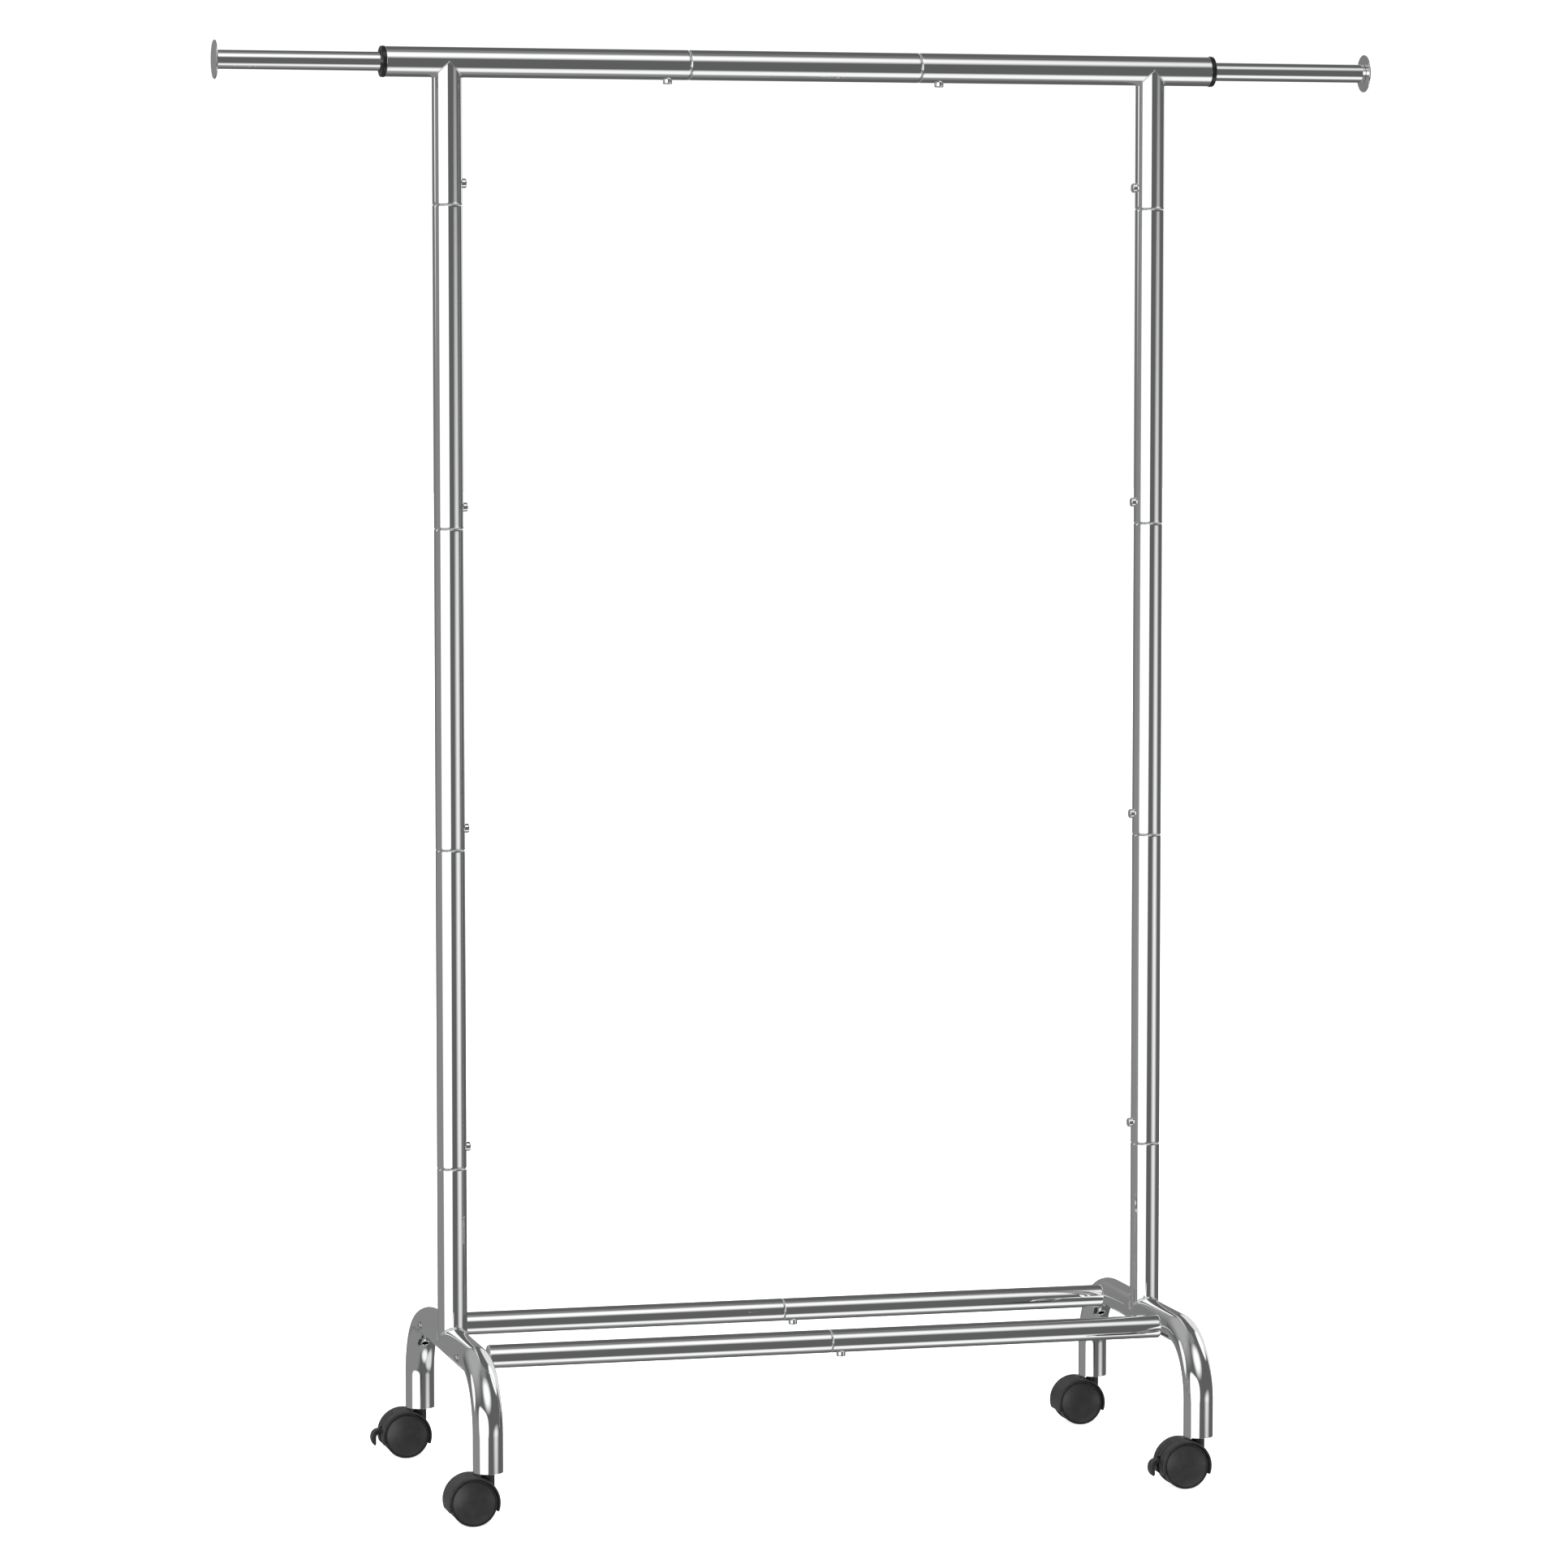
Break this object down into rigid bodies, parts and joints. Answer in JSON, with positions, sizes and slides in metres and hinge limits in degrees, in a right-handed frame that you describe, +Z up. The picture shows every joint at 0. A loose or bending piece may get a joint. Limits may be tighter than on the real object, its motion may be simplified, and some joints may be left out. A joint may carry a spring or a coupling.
{
  "type": "rolling clothes rack",
  "caption": "Free-standing rolling clothes rack of plated steel tube: a hanging bar with pull-out end rods, plug-together uprights, arched legs, bottom rails and twin-wheel casters.",
  "frame": {"origin": "on the floor, under the middle of the rack", "axes": "+X along the hanging bar to the right, -Y to the front, +Z up"},
  "size_m": [1.282, 0.4144, 1.5524],
  "materials": {
    "chrome": "polished chrome plate",
    "zinc_steel": "bright zinc",
    "black_plastic": "satin moulded",
    "wheel_plastic": "fine moulded texture"
  },
  "bodies": {
    "frame": {"left_leg_frame": "chrome", "left_upright_lower": "chrome", "left_upright_middle": "chrome", "left_upright_upper": "chrome", "left_top_tee": "chrome", "left_collar": "black_plastic", "right_leg_frame": "chrome", "right_upright_lower": "chrome", "right_upright_middle": "chrome", "right_upright_upper": "chrome", "right_top_tee": "chrome", "right_collar": "black_plastic", "centre_bar": "chrome", "front_rail_left": "chrome", "front_left_rail_bolt": "zinc_steel", "front_left_stem": "black_plastic", "front_rail_right": "chrome", "front_right_rail_bolt": "zinc_steel", "front_right_stem": "black_plastic", "rear_rail_left": "chrome", "rear_left_rail_bolt": "zinc_steel", "rear_left_stem": "black_plastic", "rear_rail_right": "chrome", "rear_right_rail_bolt": "zinc_steel", "rear_right_stem": "black_plastic"},
    "left_rod": {"left_slide_rod": "chrome", "left_end_disc": "chrome"},
    "right_rod": {"right_slide_rod": "chrome", "right_end_disc": "chrome"},
    "left_button_1_body": {"left_button_1": "chrome"},
    "left_button_2_body": {"left_button_2": "chrome"},
    "left_button_3_body": {"left_button_3": "chrome"},
    "left_button_4_body": {"left_button_4": "chrome"},
    "left_bar_button_body": {"left_bar_button": "chrome"},
    "right_button_1_body": {"right_button_1": "chrome"},
    "right_button_2_body": {"right_button_2": "chrome"},
    "right_button_3_body": {"right_button_3": "chrome"},
    "right_button_4_body": {"right_button_4": "chrome"},
    "right_bar_button_body": {"right_bar_button": "chrome"},
    "front_rail_button_body": {"front_rail_button": "chrome"},
    "rear_rail_button_body": {"rear_rail_button": "chrome"},
    "front_left_caster": {"front_left_hood": "black_plastic", "front_left_axle": "zinc_steel"},
    "front_left_wheel_outer_body": {"front_left_wheel_outer": "wheel_plastic"},
    "front_left_wheel_inner_body": {"front_left_wheel_inner": "wheel_plastic"},
    "rear_left_caster": {"rear_left_hood": "black_plastic", "rear_left_axle": "zinc_steel"},
    "rear_left_wheel_outer_body": {"rear_left_wheel_outer": "wheel_plastic"},
    "rear_left_wheel_inner_body": {"rear_left_wheel_inner": "wheel_plastic"},
    "rear_left_lever_body": {"rear_left_brake_lever": "black_plastic"},
    "front_right_caster": {"front_right_hood": "black_plastic", "front_right_axle": "zinc_steel"},
    "front_right_wheel_outer_body": {"front_right_wheel_outer": "wheel_plastic"},
    "front_right_wheel_inner_body": {"front_right_wheel_inner": "wheel_plastic"},
    "front_right_lever_body": {"front_right_brake_lever": "black_plastic"},
    "rear_right_caster": {"rear_right_hood": "black_plastic", "rear_right_axle": "zinc_steel"},
    "rear_right_wheel_outer_body": {"rear_right_wheel_outer": "wheel_plastic"},
    "rear_right_wheel_inner_body": {"rear_right_wheel_inner": "wheel_plastic"}
  },
  "joints": [
    {"name": "left_rod_slide", "type": "slide", "parent": "frame", "child": "left_rod", "axis": [-1, 0, 0], "range_m": [-0.173, 0.06]},
    {"name": "right_rod_slide", "type": "slide", "parent": "frame", "child": "right_rod", "axis": [1, 0, 0], "range_m": [-0.173, 0.06]},
    {"name": "left_button_1_press", "type": "slide", "parent": "frame", "child": "left_button_1_body", "axis": [-1, 0, 0], "range_m": [0, 0.004], "stiffness_N_per_m": 1500},
    {"name": "left_button_2_press", "type": "slide", "parent": "frame", "child": "left_button_2_body", "axis": [-1, 0, 0], "range_m": [0, 0.004], "stiffness_N_per_m": 1500},
    {"name": "left_button_3_press", "type": "slide", "parent": "frame", "child": "left_button_3_body", "axis": [-1, 0, 0], "range_m": [0, 0.004], "stiffness_N_per_m": 1500},
    {"name": "left_button_4_press", "type": "slide", "parent": "frame", "child": "left_button_4_body", "axis": [-1, 0, 0], "range_m": [0, 0.004], "stiffness_N_per_m": 1500},
    {"name": "left_bar_button_press", "type": "slide", "parent": "frame", "child": "left_bar_button_body", "axis": [0, 0, 1], "range_m": [0, 0.004], "stiffness_N_per_m": 1500},
    {"name": "right_button_1_press", "type": "slide", "parent": "frame", "child": "right_button_1_body", "axis": [1, 0, 0], "range_m": [0, 0.004], "stiffness_N_per_m": 1500},
    {"name": "right_button_2_press", "type": "slide", "parent": "frame", "child": "right_button_2_body", "axis": [1, 0, 0], "range_m": [0, 0.004], "stiffness_N_per_m": 1500},
    {"name": "right_button_3_press", "type": "slide", "parent": "frame", "child": "right_button_3_body", "axis": [1, 0, 0], "range_m": [0, 0.004], "stiffness_N_per_m": 1500},
    {"name": "right_button_4_press", "type": "slide", "parent": "frame", "child": "right_button_4_body", "axis": [1, 0, 0], "range_m": [0, 0.004], "stiffness_N_per_m": 1500},
    {"name": "right_bar_button_press", "type": "slide", "parent": "frame", "child": "right_bar_button_body", "axis": [0, 0, 1], "range_m": [0, 0.004], "stiffness_N_per_m": 1500},
    {"name": "front_rail_button_press", "type": "slide", "parent": "frame", "child": "front_rail_button_body", "axis": [0, 0, 1], "range_m": [0, 0.004], "stiffness_N_per_m": 1500},
    {"name": "rear_rail_button_press", "type": "slide", "parent": "frame", "child": "rear_rail_button_body", "axis": [0, 0, 1], "range_m": [0, 0.004], "stiffness_N_per_m": 1500},
    {"name": "front_left_swivel", "type": "hinge", "parent": "frame", "child": "front_left_caster", "pos_m": [-0.392, -0.189, 0.045], "axis": [0, 0, 1], "continuous": true},
    {"name": "front_left_wheel_outer_spin", "type": "hinge", "parent": "front_left_caster", "child": "front_left_wheel_outer_body", "pos_m": [-0.4097, -0.189, 0.025], "axis": [0, 1, 0], "continuous": true},
    {"name": "front_left_wheel_inner_spin", "type": "hinge", "parent": "front_left_caster", "child": "front_left_wheel_inner_body", "pos_m": [-0.4097, -0.189, 0.025], "axis": [0, 1, 0], "continuous": true},
    {"name": "rear_left_swivel", "type": "hinge", "parent": "frame", "child": "rear_left_caster", "pos_m": [-0.392, 0.189, 0.045], "axis": [0, 0, 1], "continuous": true},
    {"name": "rear_left_wheel_outer_spin", "type": "hinge", "parent": "rear_left_caster", "child": "rear_left_wheel_outer_body", "pos_m": [-0.4097, 0.189, 0.025], "axis": [0, 1, 0], "continuous": true},
    {"name": "rear_left_wheel_inner_spin", "type": "hinge", "parent": "rear_left_caster", "child": "rear_left_wheel_inner_body", "pos_m": [-0.4097, 0.189, 0.025], "axis": [0, 1, 0], "continuous": true},
    {"name": "rear_left_brake", "type": "hinge", "parent": "rear_left_caster", "child": "rear_left_lever_body", "pos_m": [-0.4327, 0.189, 0.0295], "axis": [0, -1, 0], "range_deg": [0, 20]},
    {"name": "front_right_swivel", "type": "hinge", "parent": "frame", "child": "front_right_caster", "pos_m": [0.392, -0.189, 0.045], "axis": [0, 0, 1], "continuous": true},
    {"name": "front_right_wheel_outer_spin", "type": "hinge", "parent": "front_right_caster", "child": "front_right_wheel_outer_body", "pos_m": [0.3743, -0.189, 0.025], "axis": [0, 1, 0], "continuous": true},
    {"name": "front_right_wheel_inner_spin", "type": "hinge", "parent": "front_right_caster", "child": "front_right_wheel_inner_body", "pos_m": [0.3743, -0.189, 0.025], "axis": [0, 1, 0], "continuous": true},
    {"name": "front_right_brake", "type": "hinge", "parent": "front_right_caster", "child": "front_right_lever_body", "pos_m": [0.3513, -0.189, 0.0295], "axis": [0, -1, 0], "range_deg": [0, 20]},
    {"name": "rear_right_swivel", "type": "hinge", "parent": "frame", "child": "rear_right_caster", "pos_m": [0.392, 0.189, 0.045], "axis": [0, 0, 1], "continuous": true},
    {"name": "rear_right_wheel_outer_spin", "type": "hinge", "parent": "rear_right_caster", "child": "rear_right_wheel_outer_body", "pos_m": [0.3743, 0.189, 0.025], "axis": [0, 1, 0], "continuous": true},
    {"name": "rear_right_wheel_inner_spin", "type": "hinge", "parent": "rear_right_caster", "child": "rear_right_wheel_inner_body", "pos_m": [0.3743, 0.189, 0.025], "axis": [0, 1, 0], "continuous": true}
  ]
}
